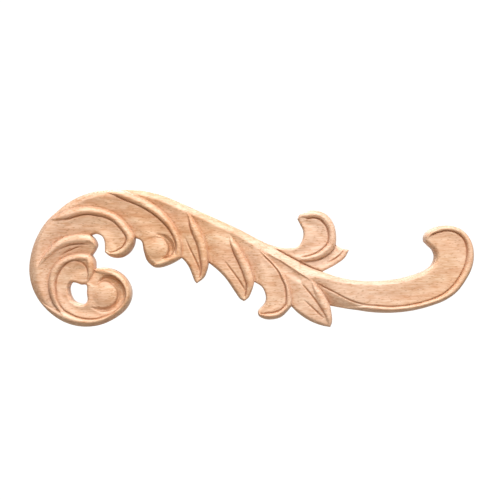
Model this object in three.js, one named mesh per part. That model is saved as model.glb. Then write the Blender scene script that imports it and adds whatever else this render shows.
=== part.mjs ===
// Carved acanthus scroll: one piece of pale hardwood, sawn to its outline, carved on the front
// and left flat on the back, where it is glued and pinned to a door, a frieze or a mantelpiece.
// Millimetres. X runs along the scroll, Z is up, and the carved front looks along -Y.
// The origin lies on the flat back, at the middle of the outline.
import * as THREE from "three";

// Driving sizes
const LENGTH = 330; // over the whole scroll
const FACE = 12; // from the back to the plain surface of the leaves
const RIM_RISE = 1.9; // how far a full rim stands over the leaf it borders
const STEP = 2.4; // how far a leaf dips where it goes under the rim of the next one
const STEM_STEP = 4.5; // how much lower than the stem the upper curl and its spur lie
const GROOVE_DEPTH = 1.2; // the V-cut inside every rim
const BEVEL_SLOPE = 1.7; // fall of an edge for each millimetre of its breadth
const DEEPEST_BEVEL = 5; // what a broad edge falls at most, so that a sawn wall is left below
const HOLLOW_DEPTH = 4.5; // the gouged hollows beside the eye and the knob

// The drawing of the scroll is laid out in thousandths of its length, across and up from the middle.
const UNIT = LENGTH / 1000;
const FULL_RIM = 16; // breadth from which a rim has its whole height
const STEP_REACH = 17; // how far from a rim the next leaf has risen again
const GROOVE_HALF = 2.6; // half the breadth of a groove
const FULL_HOLLOW = 12; // half breadth from which a hollow has its whole depth
const FOOT = 0.8; // depth of the cut at the foot of a rim, as a share of a full groove
const FOOT_HALF = 4; // how far that cut reaches from the foot
const CREST = 1.2; // over one, so that a rim is highest nearer its groove than its edge
const CHAMFERED = 1.5; // how much a bare edge rounds off: one would be a plain chamfer
const ROLLED = 0.5; // how much more a full rim rolls over than a bare edge

// Fineness of the carving's mesh, in the drawing's thousandths
const ALONG = 7.2; // between points along an edge
const FILL = 13; // between points on a plain surface
const CLEAR = 2.1; // least distance between two points
const LIP = 1.1; // the top and the foot of a step lie this far on either side of it
const NARROW = 4; // a rim or bevel no broader than this has no row of points at its inner side
const BROAD = 8; // a rim broader than this has rows along its crest and across its groove too

// Edges, clockwise round the scroll, so that the wood they border lies on their right hand.
// A knot is [across, up, breadth of the rim, breadth of the bevel]. `shown` says which knots lie
// on the outline. The others run over the face, where the leaf in front steps down to the next.
// Between the knots `grooved`, a groove follows the inside of the rim. All the wood on the left of
// an edge that `sinks` lies lower by that much, and an edge `behind` another stops where it meets it.
const BACK = {
  shown: [0, 36],
  knots: [
    [-352, -23, 8, 3], [-334, -21, 14, 4], [-309, -26, 14, 4], [-286, -42, 13, 4],
    [-272, -66, 13, 4], [-271, -89, 14, 4], [-282, -113, 15, 8], [-304, -133, 16, 12],
    [-334, -148, 16, 14], [-367, -154, 18, 15], [-403, -150, 22, 16], [-437, -135, 20, 16],
    [-469, -107, 7, 17], [-491, -71, 0, 20], [-500, -31, 0, 22], [-496, 10, 0, 18],
    [-483, 48, 0, 16], [-462, 82, 0, 16], [-430, 113, 0, 16], [-394, 136, 0, 15],
    [-349, 151, 0, 13], [-295, 155, 0, 11], [-250, 153, 0, 12], [-205, 143, 0, 14],
    [-160, 125, 0, 15], [-115, 105, 0, 15], [-70, 85, 0, 15], [-25, 64, 0, 16], [15, 43, 0, 18],
    [42, 31, 0, 10], [74, 23, 0, 3], [94, 24, 0, 3], [109, 30, 0, 3], [117, 45, 0, 3],
    [118, 62, 0, 3], [112, 75, 0, 3], [105, 89, 0, 3],
  ],
};
const UPPER_CURL = {
  shown: [0, 8],
  grooved: [1, 13],
  knots: [
    [105, 89, 2, 3], [110, 99, 10, 4], [123, 106, 17, 4], [143, 108, 17, 4], [163, 103, 18, 4],
    [178, 91, 19, 4], [188, 73, 18, 4], [192, 51, 18, 4], [191, 31, 19, 3], [185, 20, 19, 2],
    [172, 8, 18, 2], [154, -1, 15, 2], [132, -6, 12, 2], [110, -6, 8, 2],
  ],
};
const SPUR_TOP = {
  shown: [0, 2],
  knots: [
    [191, 31, 0, 3], [203, 23, 0, 4], [221, 19, 0, 4],
  ],
};
const SPUR_UNDER = {
  shown: [0, 3],
  knots: [
    [221, 19, 0, 4], [211, 1, 0, 4], [191, -14, 0, 4], [161, -30, 0, 4],
  ],
};
const STEM = {
  shown: [7, 19],
  sinks: STEM_STEP,
  knots: [
    [-25, 64, 0, 16], [15, 43, 0, 18], [33, 33, 0, 20], [58, 20, 0, 22], [87, 4, 0, 24],
    [116, -11, 0, 24], [141, -23, 0, 20], [161, -30, 0, 15], [188, -40, 0, 10], [222, -48, 0, 8],
    [263, -52, 0, 7], [308, -50, 0, 7], [341, -45, 0, 7], [373, -36, 0, 6], [396, -26, 0, 5],
    [410, -13, 0, 5], [415, 4, 0, 6], [410, 19, 0, 6], [400, 29, 0, 5], [391, 38, 0, 4],
  ],
};
const STEM_RIDGE = {
  knots: [
    [137, -52, 0, 0], [119, -41, 4, 0], [87, -21, 6, 0], [66, -7, 6, 0], [49, 2, 5, 0],
    [17, 27, 0, 0],
  ],
};
const LEAF_SIX = {
  shown: [5, 8],
  knots: [
    [134, -47, 0, 0], [141, -55, 7, 1], [150, -65, 14, 2], [160, -76, 20, 2], [171, -95, 23, 2],
    [177, -107, 22, 3], [181, -130, 17, 3], [181, -143, 11, 3], [177, -154, 4, 3],
  ],
};
const LEAF_SIX_UNDER = {
  shown: [0, 5],
  knots: [
    [177, -154, 0, 3], [159, -151, 0, 6], [139, -144, 0, 7], [119, -133, 0, 7], [103, -121, 0, 6],
    [90, -108, 0, 4],
  ],
};
const END_CURL = {
  shown: [0, 21],
  grooved: [1, 17.6],
  behind: LEAF_SIX,
  knots: [
    [391, 38, 2, 3], [391, 49, 7, 4], [398, 60, 10, 4], [411, 68, 12, 4], [430, 73, 12, 4],
    [452, 72, 12, 4], [472, 64, 13, 4], [488, 48, 14, 4], [497, 28, 16, 4], [500, 5, 18, 5],
    [496, -21, 19, 6], [483, -49, 19, 8], [463, -76, 19, 9], [436, -95, 17, 10],
    [402, -108, 15, 11], [362, -118, 15, 11], [312, -123, 15, 12], [267, -121, 16, 14],
    [240, -117, 10, 19], [218, -114, 5, 24], [200, -111, 2, 28], [177, -107, 0, 32],
    [150, -100, 0, 36],
  ],
};
const LOBE_FIVE = {
  shown: [8, 15],
  grooved: [0.4, 14],
  knots: [
    [11, 27, 0, 0], [29, 11, 4, 2], [49, -8, 5, 2], [65, -24, 7, 2], [76, -42, 9, 2],
    [84, -60, 9, 2], [89, -80, 11, 2], [91, -96, 13, 2], [90, -108, 14, 5], [81, -120, 14, 9],
    [66, -133, 16, 11], [44, -138, 16, 11], [28, -136, 14, 9], [17, -129, 9, 5], [15, -121, 4, 3],
    [18, -115, 0, 3],
  ],
};
const LOBE_FIVE_INSIDE = {
  shown: [0, 5],
  knots: [
    [18, -115, 0, 3], [28, -105, 0, 3], [33, -94, 0, 3], [32, -81, 0, 3], [24, -64, 0, 3],
    [7, -53, 0, 3],
  ],
};
const LEAF_FOUR = {
  shown: [5, 8],
  grooved: [0.8, 7.6],
  knots: [
    [-49, 54, 0, 0], [-39, 41, 11, 2], [-25, 23, 18, 2], [-10, -4, 20, 2], [1, -28, 21, 2],
    [7, -53, 20, 3], [2, -71, 14, 3], [-6, -88, 9, 3], [-16, -96, 4, 3],
  ],
};
const LEAF_FOUR_UNDER = {
  shown: [0, 6],
  knots: [
    [-16, -96, 0, 3], [-25, -91, 0, 5], [-34, -79, 0, 6], [-46, -61, 0, 6], [-59, -43, 0, 6],
    [-77, -25, 0, 6], [-96, -10, 0, 4],
  ],
};
const LEAF_THREE = {
  shown: [6, 9],
  grooved: [0.8, 8.6],
  knots: [
    [-145, 107, 0, 0], [-134, 93, 9, 2], [-124, 79, 16, 2], [-113, 60, 20, 2], [-103, 37, 20, 2],
    [-97, 12, 20, 2], [-96, -10, 18, 3], [-99, -25, 14, 3], [-107, -44, 9, 3], [-122, -56, 4, 3],
  ],
};
const LEAF_THREE_UNDER = {
  shown: [0, 5],
  knots: [
    [-122, -56, 0, 3], [-127, -51, 0, 5], [-133, -36, 0, 6], [-140, -20, 0, 6], [-148, -8, 0, 5],
    [-157, 1, 0, 4],
  ],
};
const LOBE_TWO = {
  shown: [10, 19],
  grooved: [0.3, 9.3],
  knots: [
    [-327, 154, 7, 2], [-300, 155, 16, 2], [-271, 146, 19, 2], [-246, 136, 19, 2],
    [-219, 121, 19, 2], [-194, 101, 18, 2], [-175, 78, 16, 2], [-163, 55, 14, 2], [-156, 30, 13, 2],
    [-156, 14, 14, 2], [-157, 1, 14, 3], [-171, -8, 16, 6], [-188, -16, 16, 9], [-205, -21, 13, 11],
    [-218, -20, 9, 12], [-228, -13, 5, 12], [-236, -3, 2, 11], [-242, 16, 0, 8], [-247, 39, 0, 4],
    [-262, 46, 0, 3],
  ],
};
const LOBE_ONE = {
  shown: [10, 15],
  grooved: [0.8, 14.8],
  knots: [
    [-457, 85, 0, 0], [-435, 99, 16, 2], [-416, 108, 21, 2], [-392, 114, 20, 2], [-367, 116, 18, 2],
    [-343, 113, 18, 2], [-318, 106, 17, 2], [-296, 94, 17, 2], [-280, 77, 17, 2], [-267, 59, 17, 2],
    [-262, 46, 18, 3], [-265, 29, 18, 8], [-277, 11, 18, 11], [-296, 1, 18, 11], [-317, 4, 11, 8],
    [-328, 14, 4, 3],
  ],
};
const LOBE_ONE_INSIDE = {
  shown: [0, 6],
  knots: [
    [-328, 14, 0, 3], [-328, 27, 0, 3], [-329, 38, 0, 3], [-334, 49, 0, 3], [-344, 54, 0, 3],
    [-354, 55, 0, 3], [-362, 52, 0, 3],
  ],
};
const INNER_LEAF = {
  shown: [7, 11],
  knots: [
    [-479, -22, 0, 0], [-471, -5, 7, 2], [-457, 16, 14, 2], [-442, 33, 18, 2], [-425, 45, 20, 2],
    [-406, 51, 21, 2], [-383, 54, 22, 2], [-362, 52, 21, 3], [-353, 43, 14, 3], [-348, 30, 4, 3],
    [-352, 19, 0, 3], [-360, 7, 0, 3],
  ],
};
const INNER_SCROLL = {
  shown: [11, 13],
  knots: [
    [-417, -130, 0, 0], [-433, -115, 9, 2], [-445, -97, 15, 2], [-453, -73, 16, 2],
    [-454, -51, 16, 2], [-449, -29, 17, 2], [-438, -12, 17, 2], [-422, 1, 16, 2], [-403, 8, 16, 2],
    [-385, 11, 16, 2], [-371, 10, 16, 2], [-360, 7, 16, 3], [-353, -6, 17, 3], [-352, -23, 16, 3],
    [-357, -39, 11, 2], [-367, -54, 4, 2],
  ],
};
const EDGES = [
  BACK, UPPER_CURL, SPUR_TOP, SPUR_UNDER, STEM, STEM_RIDGE, END_CURL, LEAF_SIX, LEAF_SIX_UNDER,
  LOBE_FIVE, LOBE_FIVE_INSIDE, LEAF_FOUR, LEAF_FOUR_UNDER, LEAF_THREE, LEAF_THREE_UNDER,
  LOBE_TWO, LOBE_ONE, LOBE_ONE_INSIDE, INNER_LEAF, INNER_SCROLL,
];

// The opening between the inner scroll and the big volute, sawn right through, counterclockwise
const EYELET = [
  [-409, -82], [-402, -95], [-389, -102], [-375, -103], [-368, -95], [-369, -78], [-370, -60],
  [-382, -59], [-393, -55], [-405, -55], [-411, -67],
];
const EYELET_BEVEL = 5; // breadth of the bevel round it

// Grooves that follow no rim's breadth: [across, up, depth as a share of a full groove]
const GROOVES = [
  [ // along the tail from the last leaf
    [146, -55, 0.6], [159, -62, 1], [188, -77, 1], [211, -89, 1], [232, -98, 1], [252, -103, 1],
    [268, -105, 1],
  ],
  [ // round the volute and up into the inner scroll
    [-331, -40, 0.6], [-321, -38, 1], [-310, -40, 1], [-300, -46, 1], [-290, -57, 1],
    [-283, -72, 1], [-282, -87, 1], [-289, -103, 1], [-304, -117, 1], [-325, -129, 1],
    [-352, -136, 1], [-381, -134, 1], [-406, -124, 1], [-421, -114, 1], [-432, -96, 1],
    [-437, -73, 1], [-437, -52, 1], [-432, -36, 1], [-421, -19, 1], [-407, -8, 1], [-392, -5, 1],
    [-377, -10, 1], [-368, -22, 1], [-365, -36, 1], [-367, -48, 0.6],
  ],
  [ // between the ribs of the inner leaf
    [-436, 14, 0], [-420, 24, 0.8], [-403, 30, 1], [-383, 32, 1], [-361, 30, 0.3],
  ],
  [
    [-430, 4, 0], [-413, 15, 1], [-392, 24, 1], [-372, 28, 0],
  ],
  [ // up the middle of the third leaf
    [-150, 50, 0], [-140, 27, 0.8], [-128, 3, 1], [-118, -19, 1], [-114, -32, 0.8],
  ],
  [ // up the middle of the fourth leaf
    [-61, -4, 0], [-49, -20, 0.8], [-33, -41, 1], [-21, -59, 1], [-13, -72, 0.8],
  ],
  [ // between the stem and the upper curl
    [46, 26, 0], [58, 20, 0.8], [87, 4, 1], [116, -11, 1], [141, -23, 1], [161, -30, 0.8],
  ],
  [ // round the eye of the volute
    [-343, -58, 0.8], [-334, -51, 1], [-320, -52, 1], [-309, -60, 1], [-301, -71, 1],
    [-299, -82, 1], [-302, -94, 0.9], [-310, -103, 0.8], [-320, -108, 0.7], [-331, -111, 0.6],
    [-343, -109, 0.4], [-354, -102, 0],
  ],
  [ // round the knob of the second lobe
    [-237, 37, 0], [-226, 45, 0.2], [-213, 47, 0.3], [-198, 44, 0.6], [-188, 35, 1], [-185, 19, 1],
    [-189, 9, 1], [-196, 3, 0.5],
  ],
  [ // inside the rim of the sixth leaf
    [110, -54, 0], [121, -66, 0.8], [132, -79, 1], [143, -93, 1], [152, -106, 1], [160, -119, 1],
    [167, -131, 0.7],
  ],
  [ // up the middle of the sixth leaf
    [116, -93, 0], [130, -104, 0.8], [146, -119, 1], [160, -132, 0.7],
  ],
  [ // the hooked end of the second lobe's groove
    [-170, 38, 0.6], [-169, 30, 1], [-172, 19, 1], [-178, 9, 1], [-187, 3, 1], [-196, 2, 0.3],
  ],
  [ // along the spur
    [211, 20, 0.7], [199, 7, 1], [184, -4, 1], [168, -11, 0],
  ],
];

// Gouged hollows: [across, up, half breadth], with the depth of the gouge as a share of HOLLOW_DEPTH
const HOLLOWS = [
  { // beside the eye of the volute
    depth: 1.15,
    knots: [
      [-345, -56, 0], [-333, -47, 6], [-317, -46, 9], [-302, -53, 10], [-292, -68, 11],
      [-291, -86, 11], [-299, -102, 9], [-316, -113, 8], [-336, -116, 7], [-356, -110, 3],
    ],
  },
  { // beside the knob of the second lobe
    depth: 1.3,
    knots: [
      [-210, 54, 3], [-196, 49, 6], [-185, 39, 8], [-179, 23, 9], [-184, 8, 7], [-197, -1, 3],
    ],
  },
  { // under the crook of the inner scroll and along the floor of the volute
    depth: 0.2,
    knots: [
      [-370, -22, 6], [-388, -27, 16], [-406, -42, 18], [-418, -66, 16], [-413, -92, 15],
      [-392, -112, 15], [-362, -120, 15], [-332, -122, 13], [-306, -113, 8], [-298, -100, 0],
    ],
  },
  { // the plain surface of the first lobe, a little dished
    depth: 0.16,
    knots: [
      [-430, 66, 0], [-400, 76, 11], [-368, 78, 16], [-334, 71, 20], [-309, 54, 20], [-304, 35, 17],
      [-303, 18, 6],
    ],
  },
  { // the second lobe
    depth: 0.1,
    knots: [
      [-330, 134, 0], [-298, 122, 14], [-262, 101, 24], [-228, 78, 26], [-203, 58, 15],
    ],
  },
  { // the fifth lobe
    depth: 0.12,
    knots: [
      [18, 4, 0], [32, -15, 10], [45, -38, 18], [54, -67, 22], [54, -92, 19], [42, -111, 8],
    ],
  },
  { // the upper curl
    depth: 0.15,
    knots: [
      [116, 82, 4], [142, 70, 16], [152, 48, 21], [134, 24, 18], [104, 12, 10], [80, 12, 0],
    ],
  },
  { // the end curl
    depth: 0.06,
    knots: [
      [420, 44, 2], [445, 42, 12], [462, 24, 20], [461, 0, 24], [446, -30, 24], [412, -58, 22],
      [360, -78, 20], [300, -84, 10], [250, -80, 0],
    ],
  },
  { // under the chamfer of the back
    depth: 0.12,
    knots: [
      [-258, 124, 0], [-210, 114, 14], [-150, 92, 20], [-105, 74, 20], [-58, 54, 20], [-14, 32, 16],
      [10, 14, 0],
    ],
  },
  { // under the ridge of the stem
    depth: 0.2,
    knots: [
      [30, 12, 0], [54, -8, 12], [84, -28, 14], [104, -44, 10], [116, -56, 0],
    ],
  },
];

// Balls: the eye of the volute and the knob in the second lobe, each the cap of a rounded boss.
// `foot` is its height over the plain surface at its edge, and `rise` the cap's height over that.
const BALLS = [
  { at: [-329, -81], radius: 30, foot: -1.5, rise: 2.9 },
  { at: [-211, 21], radius: 26, foot: -1.5, rise: 2.7 },
];

const mix = (a, b, share) => a.map((value, k) => value * (1 - share) + b[k] * share);
const gap = (a, b) => Math.hypot(a[0] - b[0], a[1] - b[1]);

// A centripetal curve through the knots, cut into lengths of about `spacing`
function smooth(knots, spacing) {
  const last = knots.length - 1;
  const ends = [mix(knots[1], knots[0], 2), ...knots, mix(knots[last - 1], knots[last], 2)];
  const line = [];
  for (let i = 1; i <= last; i++) {
    const [p0, p1, p2, p3] = ends.slice(i - 1, i + 3);
    const t1 = Math.sqrt(gap(p0, p1));
    const t2 = t1 + Math.sqrt(gap(p1, p2));
    const t3 = t2 + Math.sqrt(gap(p2, p3));
    const cuts = Math.max(1, Math.round(gap(p1, p2) / spacing));
    for (let j = 0; j < cuts; j++) {
      const t = t1 + ((t2 - t1) * j) / cuts;
      const near = mix(p1, p2, (t - t1) / (t2 - t1));
      const left = mix(mix(p0, p1, t / t1), near, t / t2);
      const right = mix(near, mix(p2, p3, (t - t2) / (t3 - t2)), (t - t1) / (t3 - t1));
      line.push(mix(left, right, (t - t1) / (t2 - t1)));
    }
  }
  line.push(knots[last]);
  return line;
}

// The nearest place on a line: its distance, its values, whether the asked place lies on or right
// of the line, and whether it lies beyond the line's ends
const ON_LINE = 0.7;
function nearest(line, x, y) {
  let best = { distance: Infinity };
  const last = line.length - 2;
  for (let i = 0; i <= last; i++) {
    const [ax, ay] = line[i];
    const dx = line[i + 1][0] - ax;
    const dy = line[i + 1][1] - ay;
    const along = ((x - ax) * dx + (y - ay) * dy) / (dx * dx + dy * dy);
    const share = Math.min(1, Math.max(0, along));
    const distance = Math.hypot(x - ax - share * dx, y - ay - share * dy);
    if (distance < best.distance) {
      const right = distance < ON_LINE || dx * (y - ay) < dy * (x - ax);
      const beyond = (i === 0 && along < 0) || (i === last && along > 1);
      best = { distance, share, i, right, beyond };
    }
  }
  best.values = mix(line[best.i], line[best.i + 1], best.share).slice(2);
  return best;
}

const FINE = 2.5; // length of the straight stretches that stand for a curve
const numbered = (knots) => knots.map((knot, i) => [...knot, i]);
const lines = new Map(EDGES.map((edge) => [edge, smooth(numbered(edge.knots), FINE)]));
const grooves = GROOVES.map((knots) => smooth(knots, FINE));
const hollows = HOLLOWS.map(({ depth, knots }) => ({ depth, line: smooth(knots, FINE) }));
const eyelet = smooth([...EYELET, EYELET[0]], FINE);

const clamp = (value) => Math.min(1, Math.max(0, value));
const vee = (distance) => Math.max(0, 1 - distance / GROOVE_HALF);
const bowl = (distance, half) => (half > 0 ? clamp(1 - (distance / half) ** 2) ** 2 : 0);

function bevelFall(distance, breadth, rolled) {
  if (distance >= breadth) return 0;
  const whole = Math.min(DEEPEST_BEVEL, breadth * UNIT * BEVEL_SLOPE);
  return whole * (1 - distance / breadth) ** (CHAMFERED + rolled * ROLLED);
}

// Height of the carved face over the flat back, in millimetres, at a place of the drawing
function height(x, y) {
  let bead = 0;
  let cut = 0;
  let dip = 0;
  let sunk = 0;
  let fall = bevelFall(nearest(eyelet, x, y).distance, EYELET_BEVEL, 1);
  for (const edge of EDGES) {
    const { distance, right, beyond, values } = nearest(lines.get(edge), x, y);
    const [rim, bevel, knot] = values;
    const full = clamp(rim / FULL_RIM);
    if (beyond || (edge.behind && nearest(lines.get(edge.behind), x, y).right)) continue;
    if (right) {
      fall = Math.max(fall, bevelFall(distance, bevel, full));
      if (distance < rim) {
        const over = (distance / rim) ** CREST;
        bead = Math.max(bead, RIM_RISE * full * Math.sin(Math.PI * over));
      }
      if (edge.grooved) {
        const taper = clamp(knot - edge.grooved[0]) * clamp(2 * (edge.grooved[1] - knot));
        cut = Math.max(cut, vee(Math.abs(distance - rim)) * taper);
      }
    } else {
      dip = Math.max(dip, STEP * full * Math.exp(-((distance / STEP_REACH) ** 2)));
      cut = Math.max(cut, FOOT * full * clamp(1 - distance / FOOT_HALF));
      sunk = edge.sinks ?? sunk;
    }
  }
  for (const line of grooves) {
    const { distance, values } = nearest(line, x, y);
    cut = Math.max(cut, vee(distance) * values[0]);
  }
  let hollow = 0;
  for (const { depth, line } of hollows) {
    const { distance, values } = nearest(line, x, y);
    const half = values[0];
    hollow = Math.max(hollow, depth * clamp(half / FULL_HOLLOW) * bowl(distance, half));
  }
  let z = FACE - sunk - dip + bead - GROOVE_DEPTH * cut - HOLLOW_DEPTH * hollow;
  for (const { at, radius, foot, rise } of BALLS) {
    const share = gap(at, [x, y]) / radius;
    if (share < 1) z = Math.max(z, FACE + foot + rise * Math.sqrt(1 - share * share));
  }
  return z - fall;
}

// The outline: the shown stretch of each edge in turn, and the eyelet
function shownStretch({ knots, shown: [from, to] }) {
  const line = smooth(knots, ALONG);
  const index = (knot) => line.findIndex((point) => gap(point, knots[knot]) < 1e-9);
  return line.slice(index(from), index(to));
}
const outline = EDGES.filter((edge) => edge.shown).flatMap(shownStretch);
const ring = smooth([...EYELET, EYELET[0]], ALONG).slice(0, -1);
const loops = [outline, ring];

const inLoop = (loop, x, y) =>
  loop.reduce((inside, [ax, ay], i) => {
    const [bx, by] = loop[(i + 1) % loop.length];
    const crossed = ay > y !== by > y && x < ax + ((y - ay) / (by - ay)) * (bx - ax);
    return crossed ? !inside : inside;
  }, false);
const inWood = (x, y) => inLoop(outline, x, y) && !inLoop(ring, x, y);

// Points for the face: the outline itself, then rows along every feature, then an even fill
const points = loops.flat().map(([x, y]) => [x, y]);
const fixed = points.length;

function offer(x, y, clear) {
  if (inWood(x, y) && points.every((point) => gap(point, [x, y]) > clear)) points.push([x, y]);
}
function offerRow(line, offset) {
  line.forEach(([x, y, ...values], i) => {
    const [px, py] = line[Math.max(i - 1, 0)];
    const [qx, qy] = line[Math.min(i + 1, line.length - 1)];
    const size = Math.hypot(qx - px, qy - py);
    const aside = offset(...values);
    if (aside !== null) offer(x + ((qy - py) / size) * aside, y - ((qx - px) / size) * aside, CLEAR);
  });
}
const rows = EDGES.map(({ knots }) => smooth(knots, ALONG));
for (const row of rows) {
  offerRow(row, () => LIP);
  offerRow(row, (rim) => (rim > NARROW ? rim : null));
  offerRow(row, () => -LIP);
}
for (const groove of GROOVES) offerRow(smooth(groove, ALONG), () => 0);
for (const row of rows) {
  offerRow(row, (rim) => (rim > BROAD ? rim + GROOVE_HALF : null));
  offerRow(row, (rim) => (rim > BROAD ? rim - GROOVE_HALF : null));
  offerRow(row, (rim, bevel) => (bevel > NARROW ? bevel : null));
  offerRow(row, (rim) => (rim > BROAD ? rim / 2 : null));
}
for (const groove of GROOVES) {
  offerRow(smooth(groove, ALONG), () => GROOVE_HALF);
  offerRow(smooth(groove, ALONG), () => -GROOVE_HALF);
}
offerRow(ring, () => EYELET_BEVEL);
const GOLDEN_TURN = Math.PI * (3 - Math.sqrt(5)); // points spread like the seeds of a sunflower
for (const { at, radius } of BALLS) {
  const seeds = Math.round((3 * radius ** 2) / ALONG ** 2);
  for (let i = 0; i <= seeds; i++) {
    const out = 1.03 * radius * Math.sqrt(i / seeds);
    const turn = i * GOLDEN_TURN;
    offer(at[0] + out * Math.cos(turn), at[1] + out * Math.sin(turn), CLEAR);
  }
}
for (const { knots } of HOLLOWS) offerRow(smooth(knots, ALONG), () => 0);
const reachUp = Math.max(...outline.map(([, y]) => Math.abs(y)));
for (let row = 0, y = -reachUp; y < reachUp; row++, y += FILL * Math.sqrt(0.75)) {
  for (let x = -500 + (row % 2) * FILL * 0.5; x < 500; x += FILL) offer(x, y, FILL * 0.55);
}

// Delaunay triangles over the points, swept from left to right
function circled(corners, at) {
  const [[ax, ay], [bx, by], [cx, cy]] = corners.map((corner) => at[corner]);
  const twice = 2 * (ax * (by - cy) + bx * (cy - ay) + cx * (ay - by));
  const [a, b, c] = [ax * ax + ay * ay, bx * bx + by * by, cx * cx + cy * cy];
  const x = (a * (by - cy) + b * (cy - ay) + c * (ay - by)) / twice;
  const y = (a * (cx - bx) + b * (ax - cx) + c * (bx - ax)) / twice;
  return { corners, x, y, radius: Math.hypot(ax - x, ay - y) };
}
function delaunay(places) {
  const far = 9000; // the three first corners lie far outside the drawing
  const count = places.length;
  const at = [...places, [-far, -far], [far, -far], [0, far]];
  const order = places.map((_, i) => i).sort((i, j) => at[i][0] - at[j][0]);
  const done = [];
  let open = [circled([count, count + 1, count + 2], at)];
  for (const i of order) {
    const [x, y] = at[i];
    const rim = new Map();
    const kept = [];
    for (const triangle of open) {
      if (x - triangle.x > triangle.radius) {
        done.push(triangle);
      } else if (Math.hypot(x - triangle.x, y - triangle.y) < triangle.radius) {
        const [a, b, c] = triangle.corners;
        for (const [from, to] of [[a, b], [b, c], [c, a]]) {
          if (!rim.delete(`${to} ${from}`)) rim.set(`${from} ${to}`, [from, to]);
        }
      } else {
        kept.push(triangle);
      }
    }
    for (const [from, to] of rim.values()) kept.push(circled([from, to, i], at));
    open = kept;
  }
  return [...done, ...open].map(({ corners }) => corners).filter((t) => t.every((i) => i < count));
}

// Every stretch of the outline has to be an edge of the mesh: one that isn't is halved.
let walls = loops.flatMap((loop, which) => {
  const first = which * outline.length;
  return loop.map((_, i) => [first + i, first + ((i + 1) % loop.length)]);
});
let triangles = [];
for (let missing = walls; missing.length > 0; ) {
  triangles = delaunay(points);
  const sides = new Set(triangles.flatMap(([a, b, c]) => [`${a} ${b}`, `${b} ${c}`, `${c} ${a}`]));
  missing = walls.filter(([a, b]) => !sides.has(`${a} ${b}`) && !sides.has(`${b} ${a}`));
  walls = walls.flatMap(([a, b]) => {
    if (!missing.some((wall) => wall[0] === a && wall[1] === b)) return [[a, b]];
    points.push(mix(points[a], points[b], 0.5));
    return [[a, points.length - 1], [points.length - 1, b]];
  });
}
const face = triangles.filter((corners) => {
  const [[ax, ay], [bx, by], [cx, cy]] = corners.map((corner) => points[corner]);
  return inWood((ax + bx + cx) / 3, (ay + by + cy) / 3);
});

// The solid: the carved face, the sawn walls below its outline, and the flat back
function follow(start) {
  const next = new Map(walls);
  const loop = [start];
  while (next.get(loop.at(-1)) !== start) loop.push(next.get(loop.at(-1)));
  return loop;
}
const outer = follow(0);
const inner = follow(outline.length);
const flat = (loop) => loop.map((i) => new THREE.Vector2(...points[i]));
const back = THREE.ShapeUtils.triangulateShape(flat(outer), [flat(inner)]);
const borders = [...outer, ...inner];

const positions = [];
const corner = (i, onBack) => {
  const [x, y] = points[i];
  positions.push(x * UNIT, -(onBack ? 0 : height(x, y)), y * UNIT);
};
const turned = ([a, b, c]) => {
  const [[ax, ay], [bx, by], [cx, cy]] = [points[a], points[b], points[c]];
  return (bx - ax) * (cy - ay) - (by - ay) * (cx - ax) < 0;
};
for (const [a, b, c] of face) {
  for (const i of turned([a, b, c]) ? [a, c, b] : [a, b, c]) corner(i, false);
}
for (const corners of back) {
  const [a, b, c] = corners.map((i) => borders[i]);
  for (const i of turned([a, b, c]) ? [a, b, c] : [a, c, b]) corner(i, true);
}
for (const [a, b] of walls) {
  for (const [i, onBack] of [[a, false], [b, true], [a, true], [a, false], [b, false], [b, true]]) {
    corner(i, onBack);
  }
}

const carving = new THREE.BufferGeometry();
carving.setAttribute("position", new THREE.Float32BufferAttribute(positions, 3));
carving.computeVertexNormals();

const wood = new THREE.MeshStandardMaterial({ color: "#e0b288", roughness: 0.62, metalness: 0 });
const scroll = new THREE.Mesh(carving, wood);
scroll.name = "carved_scroll";

const part = new THREE.Group();
part.add(scroll);
export default part;
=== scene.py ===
import math

import bmesh
import bpy
import numpy as np
from mathutils import Matrix, Vector, geometry


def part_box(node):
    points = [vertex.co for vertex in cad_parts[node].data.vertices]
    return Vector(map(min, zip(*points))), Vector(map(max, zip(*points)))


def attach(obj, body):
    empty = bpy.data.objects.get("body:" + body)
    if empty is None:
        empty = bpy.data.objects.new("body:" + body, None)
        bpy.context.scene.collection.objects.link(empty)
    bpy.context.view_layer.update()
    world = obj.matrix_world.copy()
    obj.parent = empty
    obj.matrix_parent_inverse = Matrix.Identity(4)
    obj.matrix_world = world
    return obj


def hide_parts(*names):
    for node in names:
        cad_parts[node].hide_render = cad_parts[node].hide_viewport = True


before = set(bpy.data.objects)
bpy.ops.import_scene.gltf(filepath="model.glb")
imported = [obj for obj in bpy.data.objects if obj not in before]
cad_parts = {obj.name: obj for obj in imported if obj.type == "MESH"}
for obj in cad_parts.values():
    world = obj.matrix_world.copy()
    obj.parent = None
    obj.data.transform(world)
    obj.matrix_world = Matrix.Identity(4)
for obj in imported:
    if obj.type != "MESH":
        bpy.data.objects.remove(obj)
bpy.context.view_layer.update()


# The carved scroll: one board of pale, open-pored rubberwood, sawn to its outline, cut by hand
# with gouges and a parting tool, and left unfinished. Its flat back is glued to what it adorns.
# The drawing is laid out in thousandths of the scroll's length, across and up from its middle.
low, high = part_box("carved_scroll")
LENGTH = high[0] - low[0]
UNIT = LENGTH / 1000
MM = 0.001
FACE = 12 * MM  # from the back to the plain surface of the leaves
RIM_RISE = 1.9 * MM  # how far a full rim stands over the leaf it borders
STEP = 2.4 * MM  # how far a leaf dips where it goes under the rim of the next one
STEM_STEP = 4.5 * MM  # how much lower than the stem the upper curl and its spur lie
GROOVE_DEPTH = 1.2 * MM  # the V-cut inside every rim
BEVEL_SLOPE = 1.7  # fall of an edge for each millimetre of its breadth
DEEPEST_BEVEL = 5 * MM  # what a broad edge falls at most, so that a sawn wall is left below
HOLLOW_DEPTH = 4.5 * MM  # the gouged hollows beside the eye and the knob
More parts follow.
